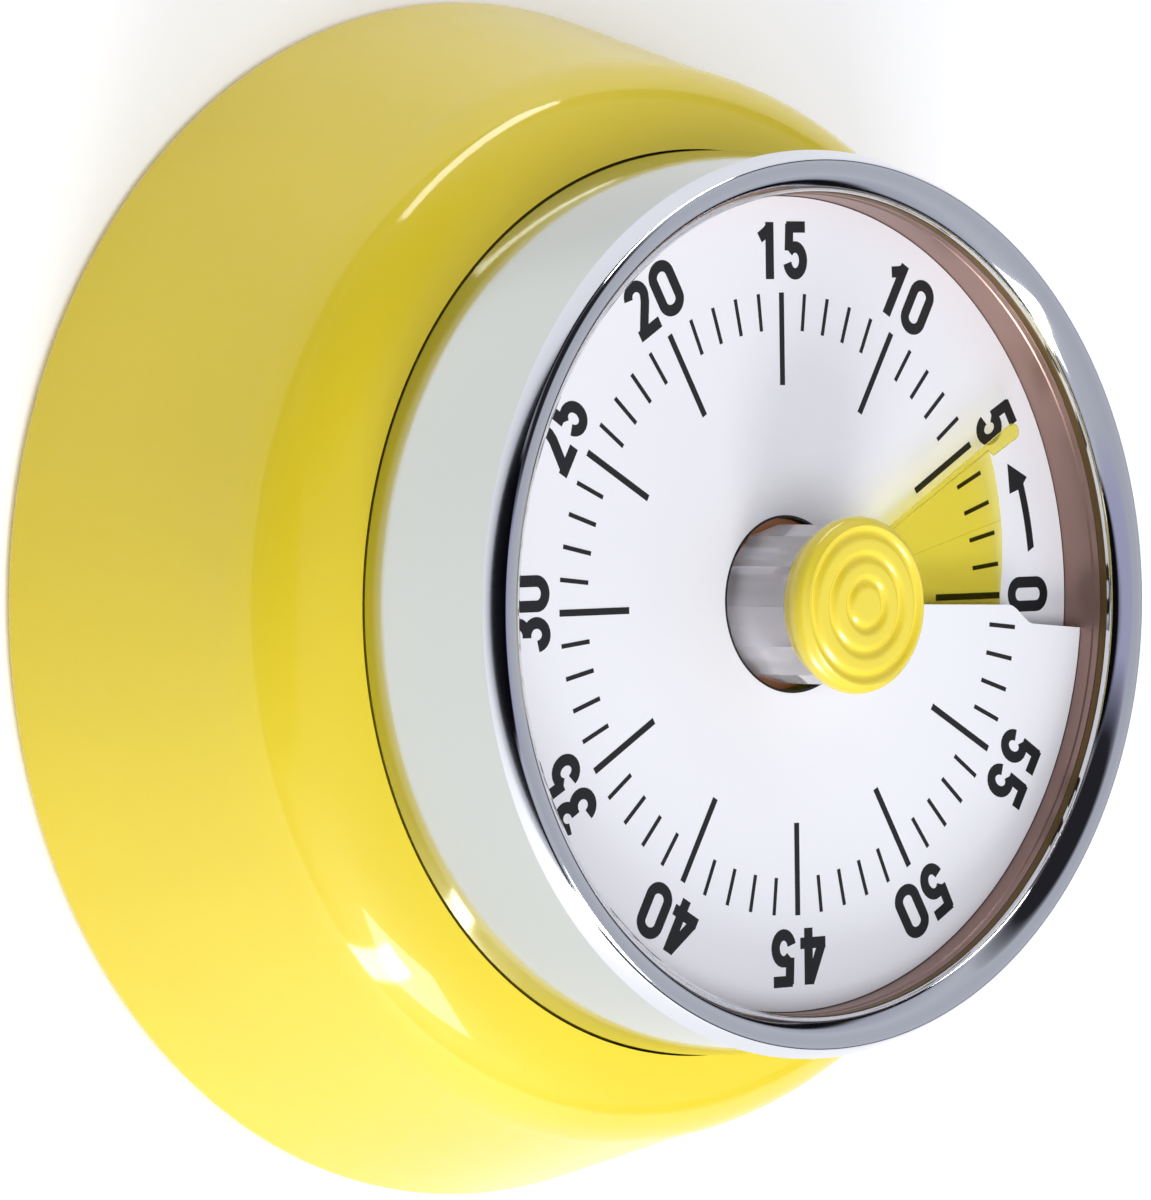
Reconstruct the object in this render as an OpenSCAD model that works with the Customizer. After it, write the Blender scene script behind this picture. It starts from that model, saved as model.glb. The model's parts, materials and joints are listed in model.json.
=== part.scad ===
// Round mechanical kitchen timer, lying on its back: origin at the centre of the back, dial facing +Z.
// The zero mark is towards +X and the minutes run anticlockwise, so 15 is towards +Y.

/* [Case] */
// Radius of the case at its foot
case_r = 35; // [34:0.1:36]
// Radius of the skirt where the rounded shoulder begins
skirt_top_r = 31.2; // [30.8:0.1:31.6]
// Height at which the shoulder begins
skirt_top_z = 13.5; // [13:0.1:14]
// Radius of the opening in the top of the case
mouth_r = 25.95; // [25.9:0.05:26.1]
// Height of the top of the shoulder
mouth_z = 19.95; // [19.8:0.05:20.2]
// Wall thickness of the case
wall = 1.3; // [1.1:0.1:1.5]

/* [Dial] */
// Height of the dial face at minute 0
dial_z = 26.19; // [26:0.01:26.4]
// How much the spiral dial face climbs in one turn
dial_rise = 1.35; // [1:0.05:1.5]
// Outer radius of the dial
dial_r = 22.9; // [22.5:0.1:22.9]
// Radius of the hole in the middle of the dial
dial_hole_r = 5.0; // [4.9:0.1:5.2]
// Thickness of the dial sheet
dial_t = 0.35; // [0.25:0.05:0.4]
// Angle of the leading edge of the film as stored
film_angle = 29; // [20:0.5:30]

/* [Knob] */
// Radius of the yellow cap
cap_r = 4.97; // [4.7:0.01:5.2]
// Height of the front of the cap
cap_top = 33.2; // [32.8:0.1:33.5]
// Radius across the corners of the clear stem
stem_r = 4.47; // [4.3:0.01:4.5]

/* [Back] */
// Distance of the magnets from the middle
magnet_circle = 15; // [14:0.5:17]
// Radius of each magnet
magnet_r = 5; // [4:0.5:5.5]
// Outer radius of the rubber ring
rubber_r = 27.95; // [27.5:0.05:27.95]

/* [Movement] */
// Teeth on the escape wheel
escape_teeth = 15; // [13:1:17]
// Turns of the mainspring
spring_turns = 6; // [4:1:8]

/* [Hidden] */
$fn = 96;
gap = 0.05;
cut = 1;
foot_z = 0.3;

// Teeth and modules of the train
main_teeth = 60;
pinion_teeth = 12;
second_teeth = 48;
third_teeth = 36;
coarse = 0.45;
fine = 0.35;

// Heights of the movement's parts
bell_z = 2.9;
rear_z = 5.6;
plate_t = 0.8;
front_z = 15.6;
main_z = 11.8;
second_z = 14.2;
third_z = 8.6;
escape_z = 10.2;
cam_z = main_z + 1.75;
flange_z = front_z + plate_t;
flange_t = 0.6;
cover_z = 0.6;
cover_top = 2.5;
deck_z = 23.6;
seat_z = 24.45;
hub_z = 25.9;
cap_h = 2.1;
ring_low = 28.45;
ring_mid = 29.8;

// Centres of the arbors
main_mesh = coarse * (main_teeth + pinion_teeth) / 2;
second_mesh = fine * (second_teeth + pinion_teeth) / 2;
third_mesh = fine * (third_teeth + pinion_teeth) / 2;
second_p = polar(main_mesh, 200);
third_p = second_p + polar(second_mesh, -60);
escape_p = third_p + polar(third_mesh, -15);
verge_p = escape_p + polar(7.3, -5);
rock_angle = 56;
trip_p = polar(15, 120);
hammer_p = polar(18, 60);
pillar_angles = [15, 85, 155, 322];
pillar_r = 21.3;
ear_angles = [40, 130, 310];
ear_r = 26.7;
boss_angles = [0, 120, 240];
boss_r = 30.1;
deck_screw_angles = [100, 180, 350];
deck_screw_r = 19.5;
magnet_angles = [45, 135, 225, 315];

// Radii that several parts share
plate_r = 24.2;
pivot_r = 0.5;
body_r = 0.8;
main_r = 1.5;
tapped_r = 0.7;
shank_r = 0.65;
bore_r = main_r + 0.02;
fitted_r = body_r + 0.02;

// Turn of each pinion that puts a gap where the driving wheel's tooth stands
second_phase = mesh_turn(200, main_teeth);
third_phase = mesh_turn(-60, second_teeth);
escape_phase = mesh_turn(-15, third_teeth);

// Colours
lacquer = "gold";
steel = "silver";
brass = "goldenrod";
black = "dimgray";

function polar(r, a) = [r * cos(a), r * sin(a)];

// Turn of a pinion at angle a round a wheel whose first tooth is at zero
function mesh_turn(a, teeth) = a + 180 - 180 / pinion_teeth + a * teeth / pinion_teeth;

// A point on a cubic curve between four control points
function bezier(p, t) =
    pow(1 - t, 3) * p[0] + 3 * t * pow(1 - t, 2) * p[1] + 3 * t * t * (1 - t) * p[2] + pow(t, 3) * p[3];

// Outline of the case from the foot to the mouth, moved inwards by d
function case_outline(d) = concat(
    [[case_r - d, foot_z]],
    [for (i = [0 : 12]) bezier([
        [skirt_top_r - d, skirt_top_z - d / 4],
        [skirt_top_r - 0.5 - d, skirt_top_z + 3.9 - d / 2],
        [28.6 - d * 0.7, mouth_z - 0.95 - d * 0.8],
        [mouth_r, mouth_z - d]
    ], i / 12)]
);

// Involute tooth flank point at radius r on a base circle rb
function roll(r, rb) = sqrt(max(0, pow(r / rb, 2) - 1)) * 180 / PI - acos(min(1, rb / r));

// Outline of a spur gear with thinned teeth
function gear_points(teeth, m) = let (
    rp = m * teeth / 2,
    rb = rp * cos(25),
    tip = rp + 0.8 * m,
    root = rp - 1.15 * m,
    low = max(rb * 1.001, root),
    half = 90 / teeth - 0.09 * m / rp * 180 / PI + roll(rp, rb),
    radii = [for (i = [0 : 3]) low + (tip - low) * i / 3]
) [for (n = [0 : teeth - 1]) let (a = n * 360 / teeth) each concat(
    [polar(root, a - half + roll(low, rb))],
    [for (r = radii) polar(r, a - half + roll(r, rb))],
    [for (i = [3 : -1 : 0]) polar(radii[i], a + half - roll(radii[i], rb))],
    [polar(root, a + half - roll(low, rb))]
)];

module ring(outer, inner, h) {
    difference() {
        cylinder(r = outer, h = h);
        translate([0, 0, -cut]) cylinder(r = inner, h = h + 2 * cut);
    }
}

module at(p, z) {
    translate([p[0], p[1], z]) children();
}

module around(angles, r, z) {
    for (a = angles) rotate([0, 0, a]) translate([r, 0, z]) children();
}

// Pan-head screw, head below and shank pointing up
module screw(head_r, head_h, shank_r, shank_h) {
    difference() {
        cylinder(r = head_r, h = head_h, $fn = 32);
        translate([-head_r, -0.2, -1]) cube([2 * head_r, 0.4, 1 + head_h * 0.45]);
    }
    translate([0, 0, head_h]) cylinder(r = shank_r, h = shank_h, $fn = 32);
}

// Toothed wheel with a bore and crossed-out spokes
module wheel(teeth, m, h, bore, rim, hub) {
    rp = m * teeth / 2;
    linear_extrude(h) difference() {
        polygon(gear_points(teeth, m));
        circle(r = bore, $fn = 32);
        for (k = [0 : 4]) rotate(k * 72) intersection() {
            difference() {
                circle(r = rp - rim);
                circle(r = hub, $fn = 48);
            }
            polygon(concat([[0.7, 0.5]], [for (a = [4, 36, 68]) polar(rp * 1.4, a)], [polar(1, 68)]));
        }
    }
}

// Arbor with a pivot at each end that runs in the plates, and a pinion
module pinion_arbor(m, z, h) {
    arbor();
    if (h > 0) translate([0, 0, z]) linear_extrude(h) difference() {
        polygon(gear_points(pinion_teeth, m));
        circle(r = pivot_r, $fn = 32);
    }
}

module arbor() {
    translate([0, 0, rear_z]) cylinder(r = pivot_r, h = front_z + plate_t - rear_z, $fn = 32);
    translate([0, 0, rear_z + plate_t + gap])
        cylinder(r = body_r, h = front_z - rear_z - plate_t - 2 * gap, $fn = 32);
}

// Height of the dial face at angle a
function face_z(a) = dial_z + dial_rise * a / 360;

// Sheet that climbs round the axis: radii are the rings, low(a) and top(a) offsets from the dial face
module spiral_sheet(radii, ends, thick, drop, flat_bottom) {
    steps = 72;
    n = len(radii);
    function angle(i, s) = ends[i][0] + (ends[i][1] - ends[i][0]) * s / steps;
    top = [for (s = [0 : steps]) for (i = [0 : n - 1]) let (a = angle(i, s))
        [radii[i] * cos(a), radii[i] * sin(a), face_z(a) - drop]];
    low = [for (p = top) [p[0], p[1], flat_bottom > 0 ? flat_bottom : p[2] - thick]];
    c = len(top);
    faces = concat(
        [for (s = [0 : steps - 1]) let (p = s * n, q = p + n) for (i = [0 : n - 2])
            [p + i, q + i, q + i + 1, p + i + 1]],
        [for (s = [0 : steps - 1]) let (p = c + s * n, q = p + n) for (i = [0 : n - 2])
            [p + i, p + i + 1, q + i + 1, q + i]],
        [for (s = [0 : steps - 1]) let (p = s * n, q = p + n) [p, c + p, c + q, q]],
        [for (s = [0 : steps - 1]) let (p = s * n + n - 1, q = p + n) [p, q, c + q, c + p]],
        [for (i = [0 : n - 2]) [i, i + 1, c + i + 1, c + i]],
        [for (i = [0 : n - 2]) let (p = steps * n + i) [p, c + p, c + p + 1, p + 1]]
    );
    polyhedron(points = concat(top, low), faces = faces);
}

// Flat sector of film between two radii and two angles
module sector(r0, r1, a0, a1, h) {
    linear_extrude(h) polygon(concat(
        [for (i = [0 : 12]) polar(r1, a0 + (a1 - a0) * i / 12)],
        [for (i = [12 : -1 : 0]) polar(r0, a0 + (a1 - a0) * i / 12)]
    ));
}

module housing() {
    inside_foot = [[0, foot_z - cut], [case_r - wall, foot_z - cut]];
    inside = concat(inside_foot, case_outline(wall), [[0, mouth_z - wall]]);
    mid_wall = concat([[0, foot_z]], case_outline(wall / 2), [[0, mouth_z - wall / 2]]);
    color(lacquer) difference() {
        union() {
            difference() {
                rotate_extrude() polygon(concat([[mouth_r, foot_z]], case_outline(0)));
                rotate_extrude() polygon(inside);
            }
            intersection() {
                rotate_extrude() polygon(mid_wall);
                union() {
                    around(boss_angles, boss_r, cover_top + 0.1) cylinder(r = 2.1, h = 10, $fn = 48);
                    around(ear_angles, ear_r, flange_z + flange_t) cylinder(r = 1.7, h = 2, $fn = 48);
                }
            }
        }
        translate([0, 0, foot_z - cut]) cylinder(r = mouth_r, h = mouth_z + 2 * cut);
        around(boss_angles, boss_r, 2) cylinder(r = 0.8, h = 7, $fn = 32);
        around(ear_angles, ear_r, flange_z) cylinder(r = tapped_r, h = 2, $fn = 32);
    }
}

module collar() {
    color(steel) difference() {
        rotate_extrude() polygon([
            [24.9, flange_z], [27.9, flange_z], [27.9, flange_z + flange_t], [25.75, flange_z + flange_t],
            [25.7, 19.8], [24.6, 28.7], [23.9, 28.7], [24.9, 20]
        ]);
        around(ear_angles, ear_r, flange_z - cut) cylinder(r = tapped_r, h = 3, $fn = 32);
    }
}

// Rolled ring: an oval section with a short sleeve that drops inside the collar
module bezel() {
    color(steel) rotate_extrude() polygon(concat(
        [[23.05, ring_mid + 0.35]],
        [for (t = [150 : -12 : -30]) [24.3 + 1.12 * cos(t), ring_mid + 0.95 * sin(t)]],
        [[24.6, ring_low + 0.3], [23.85, ring_low + 0.3], [23.85, ring_low], [23.05, ring_low]]
    ));
}

module recess_liner() {
    color("rosybrown") translate([0, 0, seat_z]) ring(23.6, dial_r + gap, ring_low - seat_z - gap);
}

// The end of the dial sheet passes round the zero, and the other end carries on beneath it
module dial() {
    radii = [dial_hole_r, 17, 17.8, 18.4, 18.9, dial_r];
    short = [1.7, 1.7, 2.6, 4.2, 5, 5.1];
    color("white") spiral_sheet(radii, [for (s = short) [-9, 360 - s]], dial_t, 0, 0);
}

module dial_seat() {
    color("white") spiral_sheet([21.7, dial_r], [[0, 350], [0, 350]], 0, dial_t + 0.03, seat_z);
}

module dial_support() {
    color("white") difference() {
        union() {
            translate([0, 0, flange_z]) ring(23.85, 22.7, deck_z - flange_z);
            translate([0, 0, deck_z]) cylinder(r = 23.85, h = 0.8);
            around(deck_screw_angles, deck_screw_r, flange_z)
                cylinder(r = 2, h = deck_z - flange_z + 0.1, $fn = 48);
        }
        translate([0, 0, deck_z - cut]) cylinder(r = 3.3, h = 3, $fn = 48);
        around(deck_screw_angles, deck_screw_r, flange_z - cut) cylinder(r = tapped_r, h = 5, $fn = 32);
    }
}

module support_screws() {
    color(steel) around(deck_screw_angles, deck_screw_r, front_z - 0.5) screw(1.2, 0.5, shank_r, 4);
}

module plate_bores() {
    for (p = [second_p, third_p, escape_p, verge_p, trip_p, hammer_p])
        at(p, -cut) cylinder(r = pivot_r + gap, h = 3, $fn = 32);
    translate([0, 0, -cut]) cylinder(r = main_r + gap, h = 3, $fn = 48);
    around(pillar_angles, pillar_r, -cut) cylinder(r = tapped_r + gap, h = 3, $fn = 32);
}

module front_plate() {
    color(brass) translate([0, 0, front_z]) difference() {
        union() {
            cylinder(r = plate_r, h = plate_t);
            around(ear_angles, ear_r, 0) cylinder(r = 1.6, h = plate_t, $fn = 48);
            around(ear_angles, 22, 0) translate([0, -1.6, 0]) cube([ear_r - 22, 3.2, plate_t]);
        }
        plate_bores();
        around(ear_angles, ear_r, -cut) cylinder(r = tapped_r, h = 3, $fn = 32);
        around(deck_screw_angles, deck_screw_r, -cut) cylinder(r = tapped_r, h = 3, $fn = 32);
    }
}

module rear_plate() {
    color(brass) translate([0, 0, rear_z]) difference() {
        cylinder(r = plate_r, h = plate_t);
        plate_bores();
    }
}

module pillars() {
    length = front_z - rear_z - plate_t;
    color(brass) around(pillar_angles, pillar_r, rear_z + plate_t) difference() {
        cylinder(r = 1.6, h = length, $fn = 48);
        for (z = [-cut, length - 2.5]) translate([0, 0, z]) cylinder(r = tapped_r, h = 2.5 + cut, $fn = 32);
    }
}

module pillar_screws() {
    color(steel) {
        around(pillar_angles, pillar_r, rear_z - 0.5) screw(1.3, 0.5, shank_r, 3);
        around(pillar_angles, pillar_r, flange_z + 0.5) mirror([0, 0, 1]) screw(1.3, 0.5, shank_r, 3);
    }
}

module movement_screws() {
    color(steel) around(ear_angles, ear_r, front_z - 0.5) screw(1.3, 0.5, shank_r, 2.6);
}

// Shallow pressed gong, open towards the movement
module bell() {
    flat_r = 24;
    bend = 3;
    t = 0.6;
    color(steel) rotate_extrude() polygon(concat(
        [[0.75, bell_z], [flat_r, bell_z]],
        [for (a = [-75 : 15 : 0]) [flat_r + bend * cos(a), bell_z + bend + bend * sin(a)]],
        [[flat_r + bend + 0.2, 9.2], [flat_r + bend - 0.4, 9.2]],
        [for (a = [0 : -15 : -75]) [flat_r + (bend - t) * cos(a), bell_z + bend + (bend - t) * sin(a)]],
        [[flat_r, bell_z + t], [0.75, bell_z + t]]
    ));
}

module bell_post() {
    color(brass) difference() {
        translate([0, 0, bell_z + 0.6]) cylinder(r = 2.4, h = rear_z - bell_z - 0.6, $fn = 48);
        translate([0, 0, 3]) cylinder(r = tapped_r, h = 1.9, $fn = 32);
    }
}

module bell_screw() {
    color(steel) translate([0, 0, bell_z - 0.35]) screw(1.6, 0.35, shank_r, 1.9);
}

// Flat spring strip wound round the arbor, its outer end standing at a pillar's side
module mainspring() {
    steps = 16 * spring_turns;
    r0 = 2.2;
    r1 = 10.2;
    t = 0.3;
    function spiral(s) = r0 + (r1 - r0) * s / steps;
    color("slategray") translate([0, 0, 7]) linear_extrude(3.8) polygon(concat(
        [for (s = [0 : steps]) polar(spiral(s), s * 360 / 16)],
        [for (s = [steps : -1 : 0]) polar(spiral(s) + t, s * 360 / 16)]
    ));
}

// Torsion spring round the hammer arbor, drawn as close coils
module hammer_spring() {
    sides = 8;
    steps = 16 * 5;
    wire = 0.15;
    coil = 1.2;
    pitch = 0.4;
    points = [for (s = [0 : steps]) for (k = [0 : sides - 1]) let (
        a = s * 360 / 16,
        r = coil + wire * cos(k * 360 / sides)
    ) [r * cos(a), r * sin(a), s / 16 * pitch + wire * sin(k * 360 / sides)]];
    faces = concat(
        [[for (k = [0 : sides - 1]) k]],
        [for (s = [0 : steps - 1]) for (k = [0 : sides - 1]) let (j = (k + 1) % sides)
            [s * sides + k, (s + 1) * sides + k, (s + 1) * sides + j, s * sides + j]],
        [[for (k = [sides - 1 : -1 : 0]) steps * sides + k]]
    );
    color("slategray") at(hammer_p, 9.4) polyhedron(points = points, faces = faces);
}

module back_cover() {
    color(black) difference() {
        translate([0, 0, cover_z]) cylinder(r1 = case_r - 1.55, r2 = case_r - 2.1, h = cover_top - cover_z);
        ring(rubber_r + gap, rubber_r - 3.95, 1.2);
        around(magnet_angles, magnet_circle, 0) cylinder(r = magnet_r + gap, h = 2.1, $fn = 64);
        around(boss_angles, boss_r, 0) cylinder(r = 1.6, h = 1.3, $fn = 48);
        around(boss_angles, boss_r, 0) cylinder(r = 0.9, h = 3, $fn = 32);
    }
}

module cover_screws() {
    color(steel) around(boss_angles, boss_r, 0.7) screw(1.5, 0.6, 0.75, 6);
}

module magnets() {
    color("gray") around(magnet_angles, magnet_circle, 0.2) cylinder(r = magnet_r, h = 1.9, $fn = 64);
}

module rubber_ring() {
    color("black") ring(rubber_r, rubber_r - 3.9, 1.2);
}

module main_arbor() {
    color(steel) {
        translate([0, 0, rear_z + gap]) cylinder(r = main_r, h = 31.6 - rear_z, $fn = 48);
        translate([0, 0, rear_z + plate_t + gap])
            cylinder(r = 1.9, h = main_z - rear_z - plate_t - gap, $fn = 48);
    }
}

module main_wheel() {
    color(brass) translate([0, 0, main_z]) wheel(main_teeth, coarse, 1, bore_r, 2.2, 4.2);
}

// Saw-toothed wheel that lets the knob be wound back past the train
module ratchet_wheel() {
    teeth = 18;
    color(steel) translate([0, 0, main_z + 1]) linear_extrude(0.7) difference() {
        polygon([for (n = [0 : teeth - 1]) let (a = n * 360 / teeth)
            each [polar(3.1, a), polar(3.7, a + 1)]]);
        circle(r = bore_r, $fn = 48);
    }
}

module click() {
    color(steel) translate([0, 0, main_z + 1]) rotate([0, 0, 50]) difference() {
        union() {
            translate([11.9, 0, 0]) cylinder(r = 1, h = 0.7, $fn = 32);
            translate([3.9, -0.45, 0]) cube([7.6, 0.9, 0.7]);
        }
        translate([11.9, 0, -1]) cylinder(r = 0.4, h = 3, $fn = 32);
    }
}

// Disc with one lobe, which comes round to the lever's nose at zero
module trip_cam() {
    color(steel) translate([0, 0, cam_z]) linear_extrude(0.6) difference() {
        union() {
            circle(r = 4);
            rotate(60 + film_angle)
                polygon([polar(3.9, -12), polar(4.8, -3), polar(4.8, 3), polar(3.9, 12)]);
        }
        circle(r = bore_r, $fn = 48);
    }
}

module film_disc() {
    color("khaki") translate([0, 0, hub_z - 0.8]) ring(21.3, 2.72, 0.1);
}

module dial_hub() {
    color("sienna") {
        translate([0, 0, hub_z - 1.3]) ring(2.7, bore_r, 0.9);
        translate([0, 0, hub_z - 0.4]) ring(4.85, bore_r, 0.4);
    }
}

module knob_stem() {
    color("white", 0.5) translate([0, 0, hub_z]) difference() {
        cylinder(r = stem_r, h = cap_top - cap_h - hub_z, $fn = 12);
        translate([0, 0, -cut]) cylinder(r = bore_r, h = 8, $fn = 48);
    }
}

// Rounded cap with three rings pressed into its front round a middle button
module knob_cap() {
    h = cap_h;
    color(lacquer) translate([0, 0, cap_top - h]) rotate_extrude() polygon(concat(
        [[0, 1.0], [bore_r, 1.0], [bore_r, 0], [cap_r - 0.3, 0]],
        [for (a = [-60 : 30 : 60]) [cap_r - 0.4 + 0.4 * cos(a), 1.0 + 0.6 * sin(a)]],
        [[cap_r - 0.6, h - 0.35], [4.25, h - 0.2], [3.98, h - 0.42], [3.7, h - 0.15], [2.95, h - 0.08]],
        [[2.67, h - 0.34], [2.4, h - 0.05], [1.6, h - 0.02], [1.3, h - 0.3], [1.0, h], [0, h]]
    ));
}

// Stiff leading edge of the film, with a rounded tab that reaches over the numerals
module film_pointer() {
    color("khaki") translate([0, 0, 28]) linear_extrude(0.1) rotate(film_angle) difference() {
        union() {
            translate([0, -1.2]) square([18, 1.2]);
            translate([17, -2.2]) square([2.4, 2.2]);
            translate([19.3, -1.1]) circle(r = 1.1, $fn = 32);
            circle(r = stem_r + 0.9, $fn = 48);
        }
        circle(r = stem_r + 0.03, $fn = 48);
    }
}

module film_trailing_leaf() {
    color("khaki") translate([0, 0, 27.65]) sector(5.4, 17.6, 0, film_angle / 2 - 0.2, 0.1);
}

module film_leading_leaf() {
    color("khaki") translate([0, 0, 27.8]) sector(5.4, 17.6, film_angle / 2, film_angle, 0.1);
}

module second_arbor() {
    color(steel) at(second_p, 0) rotate([0, 0, second_phase]) pinion_arbor(coarse, main_z - 0.3, 1.6);
}

module second_wheel() {
    color(brass) at(second_p, second_z) wheel(second_teeth, fine, 0.7, fitted_r, 1.4, 2.4);
}

module third_arbor() {
    color(steel) at(third_p, 0) rotate([0, 0, third_phase]) pinion_arbor(fine, second_z - 0.25, 1.2);
}

module third_wheel() {
    color(brass) at(third_p, third_z) wheel(third_teeth, fine, 0.6, fitted_r, 1.1, 1.9);
}

module escape_arbor() {
    color(steel) at(escape_p, 0) rotate([0, 0, escape_phase]) pinion_arbor(fine, third_z - 0.2, 1);
}

module escape_wheel() {
    color(steel) at(escape_p, escape_z) linear_extrude(0.6) difference() {
        polygon([for (n = [0 : escape_teeth - 1]) let (a = n * 360 / escape_teeth)
            each [polar(4.1, a), polar(5.5, a + 7), polar(5.5, a + 9), polar(4.1, a + 12)]]);
        circle(r = fitted_r, $fn = 32);
        for (k = [0 : 3]) rotate(k * 90) translate([2.4, 0]) circle(r = 1.0, $fn = 32);
    }
}

module verge_arbor() {
    color(steel) at(verge_p, 0) arbor();
}

module verge_anchor() {
    color(steel) at(verge_p, escape_z + 0.85) difference() {
        union() {
            cylinder(r = 1.5, h = 0.6, $fn = 32);
            for (a = [-rock_angle, rock_angle]) rotate([0, 0, 175 + a]) {
                translate([0, -0.5, 0]) cube([6.05, 1, 0.6]);
                translate([6.05, 0, -0.85]) cylinder(r = 0.35, h = 1.45, $fn = 32);
            }
        }
        translate([0, 0, -cut]) cylinder(r = fitted_r, h = 3, $fn = 32);
    }
}

module verge_disc() {
    color(brass) at(verge_p, 13.4) linear_extrude(0.9) difference() {
        circle(r = 4.8);
        circle(r = fitted_r, $fn = 32);
        for (k = [0 : 2]) rotate(k * 120) translate([2.7, 0]) circle(r = 1.2, $fn = 32);
    }
}

module trip_arbor() {
    color(steel) at(trip_p, 0) arbor();
}

// Lever with a round nose beside the cam and a tail towards the hammer
module trip_lever() {
    nose = polar(5.6, 60) - trip_p;
    color(steel) at(trip_p, cam_z) difference() {
        union() {
            cylinder(r = 1.6, h = 0.6, $fn = 32);
            translate([nose[0], nose[1], 0]) cylinder(r = 0.6, h = 0.6, $fn = 32);
            rotate([0, 0, atan2(nose[1], nose[0])]) translate([0, -0.45, 0]) cube([norm(nose), 0.9, 0.6]);
            rotate([0, 0, 20]) translate([0, -0.6, 0]) cube([7.8, 1.2, 0.6]);
        }
        translate([0, 0, -cut]) cylinder(r = fitted_r, h = 3, $fn = 32);
    }
}

module hammer_arbor() {
    color(steel) at(hammer_p, 0) arbor();
}

// Bar with an eye that is pressed on the hammer arbor
module hammer_bar(z, turn, length) {
    color(steel) at(hammer_p, z) difference() {
        union() {
            cylinder(r = 1.5, h = 0.8, $fn = 32);
            rotate([0, 0, turn]) translate([0, -0.5, 0]) cube([length, 1, 0.8]);
        }
        translate([0, 0, -cut]) cylinder(r = fitted_r, h = 3, $fn = 32);
    }
}

module hammer_arm() {
    hammer_bar(7.5, -5, 8.6);
}

// Catch that the lever's tail holds until zero
module hammer_catch() {
    hammer_bar(cam_z, 176, 8.2);
}

module hammer_head() {
    color(brass) at(hammer_p, 6.9) rotate([0, 0, -5]) translate([10.02, 0, 0])
        cylinder(r = 1.4, h = 2, $fn = 48);
}

housing();
collar();
bezel();
recess_liner();
dial();
dial_seat();
dial_support();
support_screws();
front_plate();
rear_plate();
pillars();
pillar_screws();
movement_screws();
bell();
bell_post();
bell_screw();
mainspring();
hammer_spring();
back_cover();
cover_screws();
magnets();
rubber_ring();
main_arbor();
main_wheel();
ratchet_wheel();
click();
trip_cam();
film_disc();
dial_hub();
knob_stem();
knob_cap();
film_pointer();
film_trailing_leaf();
film_leading_leaf();
second_arbor();
second_wheel();
third_arbor();
third_wheel();
escape_arbor();
escape_wheel();
verge_arbor();
verge_anchor();
verge_disc();
trip_arbor();
trip_lever();
hammer_arbor();
hammer_arm();
hammer_catch();
hammer_head();
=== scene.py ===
# %% [markdown]
# # A wind-up kitchen timer
# The timer is a lacquered case, a steel collar, a chrome ring, a white dial that climbs round its axis like one
# turn of a screw, a yellow film that comes up through the slit of that dial, and a small knob. The clockwork
# inside comes from the CAD model and keeps its shapes. This file gives every piece its finish, and makes again,
# in more detail, the pieces that can be seen.

# %% Load the frame
import json
import math

import bpy
import bmesh
from mathutils import Matrix, Vector


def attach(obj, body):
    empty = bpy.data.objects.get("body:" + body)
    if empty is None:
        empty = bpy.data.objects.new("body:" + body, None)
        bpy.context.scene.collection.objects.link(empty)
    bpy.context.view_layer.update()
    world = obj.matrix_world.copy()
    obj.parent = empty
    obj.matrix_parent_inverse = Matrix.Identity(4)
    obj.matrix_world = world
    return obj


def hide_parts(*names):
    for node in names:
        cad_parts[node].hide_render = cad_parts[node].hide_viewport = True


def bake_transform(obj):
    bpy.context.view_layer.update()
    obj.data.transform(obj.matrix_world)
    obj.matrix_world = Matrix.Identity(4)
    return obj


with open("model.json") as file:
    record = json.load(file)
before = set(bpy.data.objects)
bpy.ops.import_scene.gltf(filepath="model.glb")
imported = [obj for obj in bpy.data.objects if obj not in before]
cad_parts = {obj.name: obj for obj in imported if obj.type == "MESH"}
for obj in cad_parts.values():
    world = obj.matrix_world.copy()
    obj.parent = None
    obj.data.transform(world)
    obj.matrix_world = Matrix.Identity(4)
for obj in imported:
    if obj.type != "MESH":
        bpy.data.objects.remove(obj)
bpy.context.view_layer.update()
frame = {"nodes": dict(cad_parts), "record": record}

MM = 0.001
print("CAD nodes:", len(frame["nodes"]))

# %% [markdown]
# The dial is the datum. Its face starts at the zero mark and climbs by one rise in a full turn, so one short
# function gives its height at any angle. Ticks, numerals and the film all use it.

# %% Sizes of the dial, in millimetres
DIAL_Z = 26.19
DIAL_RISE = 1.35
DIAL_R = 22.9
DIAL_HOLE_R = 5.0
DIAL_T = 0.35
FILM_ANGLE = 29.0


def face_z(degrees):
    return DIAL_Z + DIAL_RISE * degrees / 360


print("dial face from", round(face_z(0), 2), "to", round(face_z(360), 2), "mm")

# %% [markdown]
# The camera looks at the dial from its left front, from about 44 cm away, and its lens is long, so the near and
# far sides of the round case keep almost the same size. Its axes are worked out from an azimuth, an elevation
# and a small roll, all measured from the dial's own axis.

# %% Camera
AZIMUTH = math.radians(-42.469)
ELEVATION = math.radians(1.575)
ROLL = math.radians(-0.784)
DISTANCE = 437.5
SIDE_SHIFT = -11.57
UP_SHIFT = 0.22
FRAME_LONG_SIDE = 1200
FOCAL_IN_FRAME_UNITS = 7777.7
SENSOR_WIDTH = 36

back = Vector((
    math.sin(AZIMUTH) * math.cos(ELEVATION), math.sin(ELEVATION), math.cos(AZIMUTH) * math.cos(ELEVATION)))
level = Vector((math.cos(AZIMUTH), 0, -math.sin(AZIMUTH)))
upright = back.cross(level)
right = math.cos(ROLL) * level + math.sin(ROLL) * upright
up = -math.sin(ROLL) * level + math.cos(ROLL) * upright

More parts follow.
